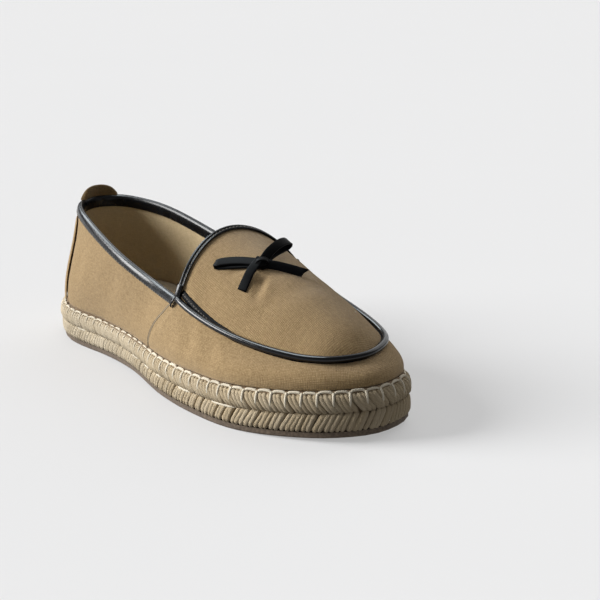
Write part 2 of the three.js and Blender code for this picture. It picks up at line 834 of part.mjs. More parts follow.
function bow() {
  const seat = apronUnder(bowX, bowY);
  const knot = new THREE.SphereGeometry(1, knotColumns, knotRows);
  knot.scale(knotLength / 2, knotWidth / 2, knotHeight / 2);
  knot.translate(seat.x, seat.y, seat.z + knotHeight / 2 + 2 * clearance);
  const arms = bowArms.map((arm) => solidOf(ribbon(arm)));
  const joined = arms.reduce((sum, solid) => sum.add(solid), solidOf(knot));
  const mesh = joined.getMesh();
  return meshFrom('bow', [...mesh.vertProperties], [...mesh.triVerts], paint(0x101113, 0.4));
}

const group = new THREE.Group();
group.name = 'espadrille';
group.position.y = (ballOuter - ballInner) / 2;
group.add(
  outsole(),
  midsole(),
  insole(),
  upper(),
  collarBinding(),
  tongueBinding(),
  apronPiping(),
  heelCounter(),
  heelTab(),
  bow(),
);

export default group;
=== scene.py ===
import math
import random
import bmesh
import bpy
from mathutils import Matrix, Vector, noise
from mathutils.bvhtree import BVHTree
from mathutils.kdtree import KDTree


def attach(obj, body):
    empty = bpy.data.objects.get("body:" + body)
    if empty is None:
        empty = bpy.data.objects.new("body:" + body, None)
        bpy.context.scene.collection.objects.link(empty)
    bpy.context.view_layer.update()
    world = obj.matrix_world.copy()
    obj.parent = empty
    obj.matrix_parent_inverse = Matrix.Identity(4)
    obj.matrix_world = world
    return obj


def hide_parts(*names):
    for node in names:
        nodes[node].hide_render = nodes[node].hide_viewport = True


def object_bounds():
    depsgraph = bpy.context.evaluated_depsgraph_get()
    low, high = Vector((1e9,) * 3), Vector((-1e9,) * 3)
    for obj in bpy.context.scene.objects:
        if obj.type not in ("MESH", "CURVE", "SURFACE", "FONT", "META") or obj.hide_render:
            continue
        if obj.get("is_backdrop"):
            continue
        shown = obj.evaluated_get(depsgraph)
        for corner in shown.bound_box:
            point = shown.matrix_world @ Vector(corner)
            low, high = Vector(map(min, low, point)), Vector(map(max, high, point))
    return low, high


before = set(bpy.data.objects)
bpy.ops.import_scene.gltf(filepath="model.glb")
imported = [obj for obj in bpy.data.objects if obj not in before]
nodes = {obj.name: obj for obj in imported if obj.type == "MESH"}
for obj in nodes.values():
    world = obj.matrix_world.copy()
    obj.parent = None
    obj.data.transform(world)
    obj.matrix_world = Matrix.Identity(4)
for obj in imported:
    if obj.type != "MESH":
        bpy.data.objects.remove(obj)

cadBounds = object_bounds()
mm = 0.001
upward = Vector((0, 0, 1))

# Camera, fitted to the photo's 600 x 600 frame

cameraFit = {
    "azimuth": 54.79,
    "elevation": 15.96,
    "roll": -1.97,
    "distance": 0.78366,
    "focalPixels": 1419.6,
    "framePixels": 600,
    "target": (0.00897, 0.05181, 0.030),
    "sensor": 36,
}


def cameraAxes(azimuth, elevation):
    a, e = math.radians(azimuth), math.radians(elevation)
    back = Vector((math.sin(a) * math.cos(e), -math.cos(a) * math.cos(e), math.sin(e)))
    right = Vector((math.cos(a), math.sin(a), 0))
    return right, back.cross(right), back


def addObject(name, data):
    made = bpy.data.objects.new(name, data)
    bpy.context.scene.collection.objects.link(made)
    return made


def makeCamera():
    right, up, back = cameraAxes(cameraFit["azimuth"], cameraFit["elevation"])
    r = math.radians(cameraFit["roll"])
    rolledRight = right * math.cos(r) + up * math.sin(r)
    rolledUp = up * math.cos(r) - right * math.sin(r)
    data = bpy.data.cameras.new("camera")
    data.sensor_width = cameraFit["sensor"]
    data.lens = cameraFit["sensor"] * cameraFit["focalPixels"] / cameraFit["framePixels"]
    camera = addObject("camera", data)
    turn = Matrix((rolledRight, rolledUp, back)).transposed().to_4x4()
    place = Matrix.Translation(Vector(cameraFit["target"]) + back * cameraFit["distance"])
    camera.matrix_world = place @ turn
    bpy.context.scene.camera = camera


makeCamera()
print("camera placed")

# Small helpers for nodes, meshes and materials


def newMaterial(name, surface):
    material = bpy.data.materials.new(name)
    material.use_nodes = True
    tree = material.node_tree
    shader = tree.nodes["Principled BSDF"]
    for socket, value in surface.items():
        shader.inputs[socket].default_value = value
    return material, tree, shader


def feed(tree, socket, value):
    if isinstance(value, bpy.types.NodeSocket):
        tree.links.new(value, socket)
    else:
        socket.default_value = (*value, 1) if socket.type == "RGBA" else value


def addNode(tree, kind, **settings):
    node = tree.nodes.new(kind)
    for key, value in settings.items():
        if key in node.inputs:
            feed(tree, node.inputs[key], value)
        else:
            setattr(node, key, value)
    return node


def mathNode(tree, operation, *values):
    node = addNode(tree, "ShaderNodeMath", operation=operation)
    for socket, value in zip(node.inputs, values):
        feed(tree, socket, value)
    return node.outputs[0]


def mixColour(tree, factor, first, second, blend="MIX"):
    node = addNode(tree, "ShaderNodeMix", data_type="RGBA", blend_type=blend)
    for index, value in ((0, factor), (6, first), (7, second)):
        feed(tree, node.inputs[index], value)
    return node.outputs[2]


def noiseNode(tree, vector, scale, detail=3, roughness=0.55):
    settings = {"Vector": vector, "Scale": scale, "Detail": detail, "Roughness": roughness}
    return addNode(tree, "ShaderNodeTexNoise", **settings).outputs["Fac"]


def remap(tree, value, low, high, toLow=0.0, toHigh=1.0):
    ends = {"From Min": low, "From Max": high, "To Min": toLow, "To Max": toHigh}
    return addNode(tree, "ShaderNodeMapRange", Value=value, **ends).outputs["Result"]


def shaderGroup(name, inputs, outputs):
    group = bpy.data.node_groups.new(name, "ShaderNodeTree")
    for way, sockets in (("INPUT", inputs), ("OUTPUT", outputs)):
        for socket in sockets:
            kind = "NodeSocketVector" if socket == "Vector" else "NodeSocketFloat"
            group.interface.new_socket(socket, in_out=way, socket_type=kind)
    return group, group.nodes.new("NodeGroupInput"), group.nodes.new("NodeGroupOutput")


def placeGroup(tree, group, **values):
    return addNode(tree, "ShaderNodeGroup", node_tree=group, **values)


def addBump(tree, shader, height, distance, strength):
    bump = addNode(tree, "ShaderNodeBump", Strength=strength, Distance=distance, Height=height)
    tree.links.new(bump.outputs["Normal"], shader.inputs["Normal"])


# Shared effects: woven cloth, soft patches of tone, fibres of a strand, leather grain

weaveLook = {
    "wobbleScale": 60,
    "wobble": 0.0012,
    "yarnScales": ((1000, 280, 1), (280, 1000, 1)),
    "threadTone": 0.42,
}


def makeWeaveGroup():
    group, start, end = shaderGroup("wovenCloth", ("Vector", "Threads", "Slub"), ("Height", "Tone"))
    spot, threads = start.outputs["Vector"], start.outputs["Threads"]

    def calc(operation, *values):
        return mathNode(group, operation, *values)

    wobble = noiseNode(group, spot, weaveLook["wobbleScale"], 2)
    shift = calc("MULTIPLY", calc("SUBTRACT", wobble, 0.5), weaveLook["wobble"])
    split = addNode(group, "ShaderNodeSeparateXYZ", Vector=spot)
    across, along = [calc("MULTIPLY", calc("ADD", axis, shift), threads) for axis in split.outputs[:2]]
    warp, weft = [calc("ABSOLUTE", calc("SINE", calc("MULTIPLY", axis, math.pi))) for axis in (across, along)]
    # which of the two threads lies on top
    cell = calc("ADD", calc("FLOOR", across), calc("FLOOR", along))
    over = calc("ROUND", calc("MULTIPLY", calc("FRACT", calc("MULTIPLY", cell, 0.5)), 2))
    under = calc("SUBTRACT", 1, over)
    warpTop = calc("MULTIPLY", calc("MULTIPLY", warp, calc("POWER", weft, 0.5)), over)
    weftTop = calc("MULTIPLY", calc("MULTIPLY", weft, calc("POWER", warp, 0.5)), under)
    height = calc("ADD", warpTop, weftTop)
    # thick and thin yarns
    yarns = []
    for scale, shown in zip(weaveLook["yarnScales"], (over, under)):
        stretch = addNode(group, "ShaderNodeMapping", Vector=spot, Scale=scale)
        yarns.append(calc("MULTIPLY", noiseNode(group, stretch.outputs[0], 1, 1), shown))
    slub = calc("MULTIPLY", calc("SUBTRACT", calc("ADD", *yarns), 0.5), start.outputs["Slub"])
    tone = calc("ADD", calc("MULTIPLY", height, weaveLook["threadTone"]), slub)
    group.links.new(height, end.inputs["Height"])
    group.links.new(tone, end.inputs["Tone"])
    return group


def makePatchGroup():
    group, start, end = shaderGroup("softPatches", ("Vector", "Size"), ("Broad", "Fine"))
    spot, size = start.outputs["Vector"], start.outputs["Size"]
    finer = mathNode(group, "MULTIPLY", size, 12)
    for name, scale, detail in (("Broad", size, 3), ("Fine", finer, 5)):
        group.links.new(noiseNode(group, spot, scale, detail, 0.5), end.inputs[name])
    return group


fibreLook = {
    "around": 26,
    "along": 2.2,
    "detail": 4,
    "roughness": 0.65,
    "toneRange": (0.3, 0.7),
}


def makeFibreGroup():
    group, start, end = shaderGroup("strandFibres", ("Vector", "Twist"), ("Height", "Tone"))
    around, along, out = addNode(group, "ShaderNodeSeparateXYZ", Vector=start.outputs["Vector"]).outputs
    turned = mathNode(group, "ADD", around, mathNode(group, "MULTIPLY", along, start.outputs["Twist"]))
    turned = mathNode(group, "MULTIPLY", turned, fibreLook["around"])
    drawn = mathNode(group, "MULTIPLY", along, fibreLook["along"])
    streak = addNode(group, "ShaderNodeCombineXYZ", X=turned, Y=drawn, Z=out)
    fibres = noiseNode(group, streak.outputs[0], 1, fibreLook["detail"], fibreLook["roughness"])
    group.links.new(fibres, end.inputs["Height"])
    group.links.new(remap(group, fibres, *fibreLook["toneRange"]), end.inputs["Tone"])
    return group


grainLook = {
    "wornScale": 160,
    "wornDetail": 4,
    "wornRange": (0.45, 0.7),
    "wornRoughness": 0.06,
    "bump": 0.5,
}


def makeGrainGroup():
    group, start, end = shaderGroup("leatherGrain", ("Vector", "Scale"), ("Height", "Worn"))
    spot, size = start.outputs["Vector"], start.outputs["Scale"]
    cells = addNode(group, "ShaderNodeTexVoronoi", feature="SMOOTH_F1", Vector=spot, Scale=size)
    worn = noiseNode(group, spot, grainLook["wornScale"], grainLook["wornDetail"])
    group.links.new(cells.outputs["Distance"], end.inputs["Height"])
    group.links.new(remap(group, worn, *grainLook["wornRange"]), end.inputs["Worn"])
    return group


weaveGroup = makeWeaveGroup()
patchGroup = makePatchGroup()
fibreGroup = makeFibreGroup()
grainGroup = makeGrainGroup()


def shadeBy(tree, colour, amount):
    grey = addNode(tree, "ShaderNodeCombineColor", Red=amount, Green=amount, Blue=amount)
    return mixColour(tree, 1.0, colour, grey.outputs[0], "MULTIPLY")


def patchesAt(tree, size):
    where = addNode(tree, "ShaderNodeTexCoord")
    return placeGroup(tree, patchGroup, Vector=where.outputs["Object"], Size=size)


clothLook = {
    "slub": 1.5,
    "toneRange": (-0.25, 0.75),
    "patchSize": 18.0,
    "patchRange": (0.3, 0.7, 0.93, 1.04),
    "surface": {"Roughness": 0.92, "Sheen Roughness": 0.5, "Specular IOR Level": 0.04},
    "bump": 0.6,
}


def clothMaterial(name, light, dark, threads, depth, sheen):
    material, tree, shader = newMaterial(name, {**clothLook["surface"], "Sheen Weight": sheen})
    uv = addNode(tree, "ShaderNodeUVMap", uv_map="cloth")
    weave = placeGroup(tree, weaveGroup, Vector=uv.outputs[0], Threads=threads, Slub=clothLook["slub"])
    patches = patchesAt(tree, clothLook["patchSize"])
    tone = mixColour(tree, remap(tree, weave.outputs["Tone"], *clothLook["toneRange"]), dark, light)
    soft = remap(tree, patches.outputs["Broad"], *clothLook["patchRange"])
    tree.links.new(shadeBy(tree, tone, soft), shader.inputs["Base Color"])
    addBump(tree, shader, weave.outputs["Height"], depth, clothLook["bump"])
    return material


def leatherMaterial(name, colour, worn, roughness, grain, depth, shine):
    material, tree, shader = newMaterial(name, {"Specular IOR Level": shine})
    where = addNode(tree, "ShaderNodeTexCoord")
    skin = placeGroup(tree, grainGroup, Vector=where.outputs["Object"], Scale=grain)
    tree.links.new(mixColour(tree, skin.outputs["Worn"], colour, worn), shader.inputs["Base Color"])
    rough = remap(tree, skin.outputs["Worn"], 0, 1, roughness, roughness + grainLook["wornRoughness"])
    tree.links.new(rough, shader.inputs["Roughness"])
    addBump(tree, shader, skin.outputs["Height"], depth, grainLook["bump"])
    return material


strandLook = {
    "patchSize": 30.0,
    "patchRange": (0.3, 0.7, 0.84, 1.08),
    "raw": 0.72,
    "bleached": (0.80, 0.73, 0.59),
    "bleachShare": 0.45,
    "surface": {"Roughness": 0.9, "Sheen Weight": 0.05, "Specular IOR Level": 0.04},
    "bump": 0.9,
}


def strandMaterial(name, light, dark, twist, depth):
    material, tree, shader = newMaterial(name, strandLook["surface"])
    uv = addNode(tree, "ShaderNodeUVMap", uv_map="strand")
    fibres = placeGroup(tree, fibreGroup, Vector=uv.outputs[0], Twist=twist)
    patches = patchesAt(tree, strandLook["patchSize"])
    tone = mixColour(tree, fibres.outputs["Tone"], dark, light)
    soft = remap(tree, patches.outputs["Broad"], *strandLook["patchRange"])
    # the tint of each strand runs from raw to bleached
    tint = addNode(tree, "ShaderNodeAttribute", attribute_name="tint")
    raw = tuple(channel * strandLook["raw"] for channel in light)
    bleached = mixColour(tree, tint.outputs["Fac"], raw, strandLook["bleached"])
    tone = mixColour(tree, strandLook["bleachShare"], tone, bleached)
    tree.links.new(shadeBy(tree, tone, soft), shader.inputs["Base Color"])
    addBump(tree, shader, fibres.outputs["Height"], depth, strandLook["bump"])
    return material


def patchyMaterial(name, dark, light, size, roughness, depth, bump):
    material, tree, shader = newMaterial(name, {"Roughness": roughness})
    fine = patchesAt(tree, size).outputs["Fine"]
    tree.links.new(mixColour(tree, remap(tree, fine, 0.35, 0.65), dark, light), shader.inputs["Base Color"])
    addBump(tree, shader, fine, depth, bump)
    return material


canvasMaterial = clothMaterial("canvas", (0.468, 0.328, 0.167), (0.243, 0.158, 0.071), 1150.0, 0.00026, 0.25)
liningMaterial = clothMaterial("lining", (0.68, 0.54, 0.33), (0.50, 0.385, 0.22), 1500.0, 0.0002, 0.1)
sockMaterial = clothMaterial("sock", (0.88, 0.82, 0.69), (0.76, 0.69, 0.55), 1300.0, 0.0002, 0.1)
tabMaterial = clothMaterial("tabCanvas", (0.26, 0.172, 0.075), (0.125, 0.082, 0.036), 1150.0, 0.0003, 0.2)
blackLeather = leatherMaterial(
    "blackLeather", (0.003, 0.0034, 0.0045), (0.007, 0.0078, 0.0095),
    roughness=0.24, grain=700.0, depth=0.00002, shine=0.28,
)
laceLeather = leatherMaterial(
    "laceLeather", (0.0022, 0.0022, 0.0027), (0.005, 0.005, 0.0055),
    roughness=0.36, grain=1300.0, depth=0.00003, shine=0.03,
)
pipingLeather = leatherMaterial(
    "pipingLeather", (0.0028, 0.003, 0.004), (0.006, 0.0065, 0.008),
    roughness=0.16, grain=400.0, depth=0.000006, shine=0.3,
)
juteMaterial = strandMaterial("jute", (0.64, 0.51, 0.325), (0.24, 0.17, 0.092), 0.5, 0.0008)
threadMaterial = strandMaterial("stitchThread", (0.86, 0.79, 0.65), (0.62, 0.53, 0.39), 3.0, 0.00025)
edgeThread = strandMaterial("edgeThread", (0.50, 0.39, 0.23), (0.30, 0.22, 0.12), 3.0, 0.0001)
darkThread = strandMaterial("darkThread", (0.05, 0.05, 0.055), (0.015, 0.015, 0.018), 3.0, 0.0001)
# side seam material: a dark painted shadow line along each seam, and with a higher tint the painted highlight
# of the lap ridge
seamShadowAndHighlight = strandMaterial("seamShadowAndHighlight", (0.22, 0.15, 0.075), (0.11, 0.075, 0.038), 3.0, 0.0001)
rubberFinish = patchyMaterial(
    "crepeRubber", (0.085, 0.061, 0.041), (0.16, 0.117, 0.08), 60.0, roughness=0.75, depth=0.0004, bump=0.6,
)
# darker than the cords: painted shade for the gaps between the cords
juteGapShade = patchyMaterial(
    "juteGapShade", (0.13, 0.085, 0.045), (0.30, 0.21, 0.12), 110.0, roughness=0.95, depth=0.0008, bump=0.8,
)
print("materials made")

# Curves


def smoothCurve(points, closed=False, steps=8):
    count = len(points)
    spans = count if closed else count - 1
    line = []
    for i in range(spans):
        b = points[i]
        c = points[(i + 1) % count]
        a = points[i - 1] if closed or i > 0 else 2 * b - c
        d = points[(i + 2) % count] if closed or i < spans - 1 else 2 * c - b
        before, across, after = [max((q - p).length ** 0.5, 0.001) for p, q in ((a, b), (b, c), (c, d))]
        slopeIn = ((b - a) / before - (c - a) / (before + across) + (c - b) / across) * across
        slopeOut = ((c - b) / across - (d - b) / (across + after) + (d - c) / after) * across
        for k in range(steps):
            t = k / steps
            bend = -3 * b + 3 * c - 2 * slopeIn - slopeOut
            turn = 2 * b - 2 * c + slopeIn + slopeOut
            line.append(b + slopeIn * t + bend * t ** 2 + turn * t ** 3)
    if not closed:
        line.append(points[-1].copy())
    return line


def evenPath(points, closed=False, step=mm, count=None):
    ring = points + [points[0]] if closed else points
    marks = [0.0]
    for a, b in zip(ring, ring[1:]):
        marks.append(marks[-1] + (b - a).length)
    total = marks[-1]
    count = count or max(2, round(total / step))
    even = []
    k = 0
    for i in range(count + 1):
        goal = total * i / count
        while k < len(marks) - 2 and marks[k + 1] < goal:
            k += 1
        share = (goal - marks[k]) / max(marks[k + 1] - marks[k], 1e-9)
        even.append(ring[k].lerp(ring[k + 1], min(max(share, 0), 1)))
    return {"points": even, "total": total, "closed": closed}


def onPath(path, distance):
    if path["closed"]:
        distance %= path["total"]
    place = min(max(distance / path["total"], 0), 1) * (len(path["points"]) - 1)
    k = min(int(place), len(path["points"]) - 2)
    return path["points"][k].lerp(path["points"][k + 1], place - k)


def pathHeading(path, distance, reach=mm):
    return (onPath(path, distance + reach) - onPath(path, distance - reach)).normalized()


def flatSide(heading):
    return Vector((heading.y, -heading.x, 0)).normalized()


# Meshes


def copiedNode(name):
    bm = bmesh.new()
    bm.from_mesh(nodes[name].data)
    bmesh.ops.remove_doubles(bm, verts=bm.verts, dist=0.00001)
    bm.normal_update()
    return bm


def treeOf(bm):
    bm.normal_update()
    return BVHTree.FromBMesh(bm)


def treeOfPiece(piece):
    bm = bmesh.new()
    bm.from_mesh(piece.data)
    return treeOf(bm)


def pointTree(points):
    tree = KDTree(len(points))
    for index, point in enumerate(points):
        tree.insert(point, index)
    tree.balance()
    return tree


def straightDown(tree, x, y):
    return tree.ray_cast(Vector((x, y, 0.2)), -upward)[:2]


def refined(bm, levels):
    mesh = bpy.data.meshes.new("rough")
    bm.to_mesh(mesh)
    bm.free()
    rough = addObject("rough", mesh)
    smooth = rough.modifiers.new("smooth", "SUBSURF")
    smooth.levels = levels
    smooth.render_levels = levels
    graph = bpy.context.evaluated_depsgraph_get()
    result = bpy.data.meshes.new_from_object(rough.evaluated_get(graph))
    fresh = bmesh.new()
    fresh.from_mesh(result)
    bpy.data.objects.remove(rough)
    bpy.data.meshes.remove(mesh)
    bpy.data.meshes.remove(result)
    fresh.normal_update()
    return fresh


def finishPiece(name, bm, materials, replaced=()):
    mesh = bpy.data.meshes.new(name)
    for face in bm.faces:
        face.smooth = True
    bm.to_mesh(mesh)
    bm.free()
    for material in materials:
        mesh.materials.append(material)
    piece = addObject(name, mesh)
    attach(piece, "root")
    if replaced:
        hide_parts(*replaced)
    return piece


def strandLayer(bm):
    bm.faces.layers.float.new("tint")
    return bm.loops.layers.uv.new("strand")


def newBundle():
    bm = bmesh.new()
    strandLayer(bm)
    return bm


def unitTube(sides, rings, square=1.0):
    bm = bmesh.new()
    bmesh.ops.create_cone(bm, cap_ends=True, segments=sides, radius1=1, radius2=1, depth=1)
    bmesh.ops.translate(bm, verts=bm.verts, vec=(0, 0, 0.5))
    rungs = [edge for edge in bm.edges if abs(edge.verts[0].co.z - edge.verts[1].co.z) > 0.5]
    bmesh.ops.subdivide_edges(bm, edges=rungs, cuts=rings - 1)
    layer = strandLayer(bm)
    for face in bm.faces:
        turns = [math.atan2(loop.vert.co.y, loop.vert.co.x) / math.tau for loop in face.loops]
        wraps = max(turns) - min(turns) > 0.5
        for loop, turn in zip(face.loops, turns):
            loop[layer].uv = (turn + 1 if wraps and turn < 0 else turn, loop.vert.co.z)
    for vert in bm.verts:
        vert.co.x = math.copysign(abs(vert.co.x) ** square, vert.co.x)
        vert.co.y = math.copysign(abs(vert.co.y) ** square, vert.co.y)
    return {"bm": bm, "rings": rings}


scratchMesh = bpy.data.meshes.new("scratch")


def pourInto(bundle, bm):
    bm.to_mesh(scratchMesh)
    bm.free()
    bundle.from_mesh(scratchMesh)


def sweep(bundle, tube, control, width, depth, hint, tint=0.5, profile=None, cut=0.0):
    rings = tube["rings"]
    points = evenPath(smoothCurve(control, steps=6), count=rings)["points"]
    places = []
    for k, point in enumerate(points):
        along = (points[min(k + 1, rings)] - points[max(k - 1, 0)]).normalized()
        share = k / rings
        up = hint(share) if callable(hint) else hint
        side = up.cross(along).normalized()
        up = along.cross(side)
        size = profile(share) if profile else 1
        across = side * width / 2 * size
        if k == rings:
            across += along * width / 2 * cut
        places.append((point, across, up * depth / 2 * size))
    strand = tube["bm"].copy()
    layer = strand.faces.layers.float["tint"]
    for face in strand.faces:
        face[layer] = tint
    for vert in strand.verts:
        point, across, over = places[round(vert.co.z * rings)]
        vert.co = point + across * vert.co.x + over * vert.co.y
    pourInto(bundle, strand)


def roundEnds(share):
    edge = min(share, 1 - share) * 2
    return 0.45 + 0.55 * min(1, edge * 3) ** 0.5


# Guide lines of the shoe, from the frame and from the same sizes as its construction

guides = {
    "levelShift": 0.85,
    "collarBack": -126.6,
    "collarBackHeight": 75.6,
    "collarHalfWidth": 32.6,
    "junctionX": 27.5,
    "junctionHeight": 51.6,
    "apronHalfWidth": 37.7,
    "tongueHeight": 82,
    "tongueLean": 7.5,
    "apronTip": (125.3, 4),
    "toeSeamHeight": 36,
    "tongueDome": 0.74,
    "tongueSamples": 80,
    "steps": 30,
    "spacing": 0.5,
}
# share of the length, share of the half width, share of the rise
collarRows = (
    (0.035, 0.39, 0.985), (0.11, 0.61, 0.94), (0.25, 0.81, 0.83), (0.55, 1, 0.42), (0.8, 1.02, 0.08),
)
# share of the length, shares of the half width on the outer and inner side, share of the drop
seamRows = (
    (0.12, 1.01, 1.03, 0.22), (0.33, 0.965, 1.01, 0.53), (0.56, 0.84, 0.965, 0.78),
    (0.76, 0.66, 0.84, 0.92), (0.88, 0.5, 0.68, 0.97), (0.96, 0.27, 0.41, 1),
)


def place(x, y, z):
    return Vector((x, y + guides["levelShift"], z)) * mm


def guidePath(points):
    return evenPath(smoothCurve(points, steps=guides["steps"]), step=guides["spacing"] * mm)


def collarLine():
    back, front = guides["collarBack"], guides["junctionX"]
    low, high = guides["junctionHeight"], guides["collarBackHeight"]

    def point(along, half, rise, side):
        x = back + (front - back) * along
        return place(x, side * half * guides["collarHalfWidth"], low + (high - low) * rise)

    ends = [place(front, side * guides["apronHalfWidth"], low) for side in (-1, 1)]
    outer = [point(*row, -1) for row in reversed(collarRows)]
    inner = [point(*row, 1) for row in collarRows]
    return guidePath([ends[0], *outer, place(back, 0, high), *inner, ends[1]])


def seamLine():
    start, tip = guides["junctionX"], guides["apronTip"]
    low, high = guides["toeSeamHeight"], guides["junctionHeight"]
    half = guides["apronHalfWidth"]

    def point(row, side):
        share = row[1] if side < 0 else row[2]
        return place(start + (tip[0] - start) * row[0], side * share * half, high - (high - low) * row[3])

    outer = [point(row, -1) for row in seamRows]
    inner = [point(row, 1) for row in reversed(seamRows)]
    ends = [place(start, side * half, high) for side in (-1, 1)]
    return guidePath([ends[0], *outer, place(*tip, low), *inner, ends[1]])


def tongueLine():
    points = []
    low, count = guides["junctionHeight"], guides["tongueSamples"]
    for k in range(count + 1):
        across = -math.cos(math.pi * k / count)
        dome = 1 - across ** 2
        rise = (guides["tongueHeight"] - low) * dome ** guides["tongueDome"]
        x = guides["junctionX"] - guides["tongueLean"] * dome
        points.append(place(x, across * guides["apronHalfWidth"], low + rise))
    return evenPath(points, step=guides["spacing"] * mm)


collarPath = collarLine()
seamPath = seamLine()
tonguePath = tongueLine()
upperTree = treeOf(copiedNode("upper"))
midsoleTree = treeOf(copiedNode("midsole"))


soleGuide = {"spacing": 0.25, "inside": 4, "stations": 600}


def soleLine():
    bm = copiedNode("outsole")
    columns = {}
    for vert in bm.verts:
        columns.setdefault((round(vert.co.x, 5), round(vert.co.y, 5)), []).append(vert.co.copy())
    bm.free()
    ring = [max(column, key=lambda co: co.z) for column in columns.values() if len(column) > 1]
    ring.sort(key=lambda co: math.atan2(co.y, co.x))
    return evenPath(smoothCurve(ring, True), True, soleGuide["spacing"] * mm)


solePath = soleLine()


def soleStation(distance):
    point = onPath(solePath, distance)
    outward = flatSide(pathHeading(solePath, distance))
    inside = point - outward * soleGuide["inside"] * mm
    top = straightDown(midsoleTree, inside.x, inside.y)[0]
    low = midsoleTree.ray_cast(inside - upward * 0.1, upward)[0]
    return {"point": Vector((point.x, point.y, 0)), "outward": outward, "low": low.z, "top": top.z}


stationCount = soleGuide["stations"]
soleStations = [soleStation(solePath["total"] * i / stationCount) for i in range(stationCount + 1)]


def solePlace(distance, out, rise):
    place = (distance / solePath["total"] % 1) * stationCount
    k = int(place)
    a, b = soleStations[k], soleStations[min(k + 1, stationCount)]
    t = place - k
    low = a["low"] + (b["low"] - a["low"]) * t
    top = a["top"] + (b["top"] - a["top"]) * t
    point = a["point"].lerp(b["point"], t) + a["outward"].lerp(b["outward"], t) * out
    return Vector((point.x, point.y, low + (top - low) * rise))


def soleOutward(distance):
    return soleStations[int((distance / solePath["total"] % 1) * stationCount)]["outward"]


print("guide lines made")

# Floor and light

stageLook = {
    "floorTone": 0.42,
    "floorGlow": 0.37,
    "floorSize": 9,
    "worldTone": 0.22,
    "farTone": 0.84,
    "glossTint": (0.88, 0.96, 1.0),
}


def makeFloor():
    bm = bmesh.new()
    bmesh.ops.create_grid(bm, x_segments=8, y_segments=8, size=stageLook["floorSize"])
    mesh = bpy.data.meshes.new("floor")
    bm.to_mesh(mesh)
    bm.free()
    floor = addObject("floor", mesh)
    material, tree, shader = newMaterial("paleFloor", {
        "Roughness": 0.9,
        "Specular IOR Level": 0.0,
        "Emission Color": (1, 1, 1, 1),
        "Emission Strength": stageLook["floorGlow"],
    })
    where = addNode(tree, "ShaderNodeTexCoord")
    cloud = noiseNode(tree, where.outputs["Object"], 3)
    tone = stageLook["floorTone"]
    colour = mixColour(tree, cloud, (tone, tone, tone * 1.005), (tone * 0.985, tone * 0.985, tone * 0.99))
    tree.links.new(colour, shader.inputs["Base Color"])
    mesh.materials.append(material)
    floor.visible_diffuse = False
    floor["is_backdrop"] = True


def makeWorld():
    world = bpy.data.worlds.new("room")
    world.use_nodes = True
    tree = world.node_tree
    tone, far = stageLook["worldTone"], stageLook["farTone"]
    seen = addNode(tree, "ShaderNodeLightPath")
    glow = mixColour(tree, seen.outputs["Is Camera Ray"], (tone, tone, tone * 1.01), (far, far, far))
    tree.links.new(glow, tree.nodes["Background"].inputs[0])
    bpy.context.scene.world = world


def addLight(name, kind, offset, power, **settings):
    data = bpy.data.lights.new(name, kind)
    data.energy = power
    for key, value in settings.items():
        setattr(data, key, value)
    light = addObject(name, data)
    light.location = Vector(cameraFit["target"]) + offset
    light.rotation_euler = (-offset).to_track_quat("-Z", "Y").to_euler()
    return light


def sunLight(name, offset, strength, degrees):
    addLight(name, "SUN", offset, strength, angle=math.radians(degrees))


def areaLight(name, offset, power, size):
    tint = stageLook["glossTint"]
    light = addLight(name, "AREA", offset, power, shape="DISK", size=size, color=tint)
    light.visible_diffuse = False


viewRight, viewBack = cameraAxes(cameraFit["azimuth"], cameraFit["elevation"])[::2]
sunLight("sun", upward * 0.5 - viewRight - viewBack * 0.13, strength=5.2, degrees=34)
sunLight("fill", Vector((-0.4, 0.8, 0.7)), strength=1.1, degrees=70)
areaLight("gloss", upward * 0.85 - viewRight * 0.25, power=11, size=0.62)
areaLight("edge", Vector((-0.72, -0.11, 0.55)), power=4.6, size=0.5)
bpy.context.scene.view_settings.view_transform = "Standard"
makeFloor()
makeWorld()
print("stage lit")

# Upper: canvas outside, lining inside

upperLook = {
    "levels": 2,
    # depth, width and marks of each soft trough
    "creases": (
        (1.3, 2.4, ((60, -7.5, 68), (66.5, -13, 63), (71.5, -19, 58))),
        (0.6, 3.0, ((52, -12, 70), (50, -20, 66))),
        (0.45, 4.5, ((36, -30, 62), (50, -33, 55), (64, -35, 49))),
        (0.55, 4.0, ((40, -41, 44), (46, -44, 36), (44, -46, 28))),
        (0.5, 4.0, ((58, -42, 40), (66, -45, 33), (66, -47, 27))),
        (0.6, 6.0, ((0, -36, 50), (-8, -38, 42), (-10, -39, 32))),
        (0.7, 7.0, ((-40, -33, 55), (-48, -35, 44), (-52, -37, 32))),
        (0.5, 6.0, ((-84, -30, 60), (-90, -33, 46), (-94, -35, 32))),
        (0.55, 4.0, ((44, 42, 44), (50, 45, 36), (50, 46, 28))),
        (0.5, 4.0, ((62, 44, 40), (69, 46, 33), (70, 47, 27))),
        (0.6, 6.0, ((-6, 35, 50), (-14, 36, 42), (-18, 34, 32))),
        (0.7, 7.0, ((-50, 33, 55), (-56, 35, 44), (-60, 36, 32))),
        (0.35, 5.0, ((78, -28, 52), (82, 0, 60), (80, 26, 53))),
    ),
    "creaseFade": (0.12, 0.76),
    "creaseRim": {"at": 1.9, "width": 0.8, "height": 0.35},
    "swellScales": (38, 90),
    "unevenness": 0.35,
}
apronArea = {
    "tipX": 126.2,
    "tongueX": 14,
    "edgeGap": 0.9,
    "crownFrom": 21,
    "seamFrom": 28,
    "count": 130,
    "crowns": 135,
}


seamMiddle = len(seamPath["points"]) // 2
seamOuter = seamPath["points"][:seamMiddle + 1]
seamInner = seamPath["points"][seamMiddle:][::-1]


def sideAt(line, x):
    for a, b in zip(line, line[1:]):
        if a.x <= x <= b.x:
            return a.lerp(b, (x - a.x) / max(b.x - a.x, 1e-9))
    return line[0] if x < line[0].x else line[-1]


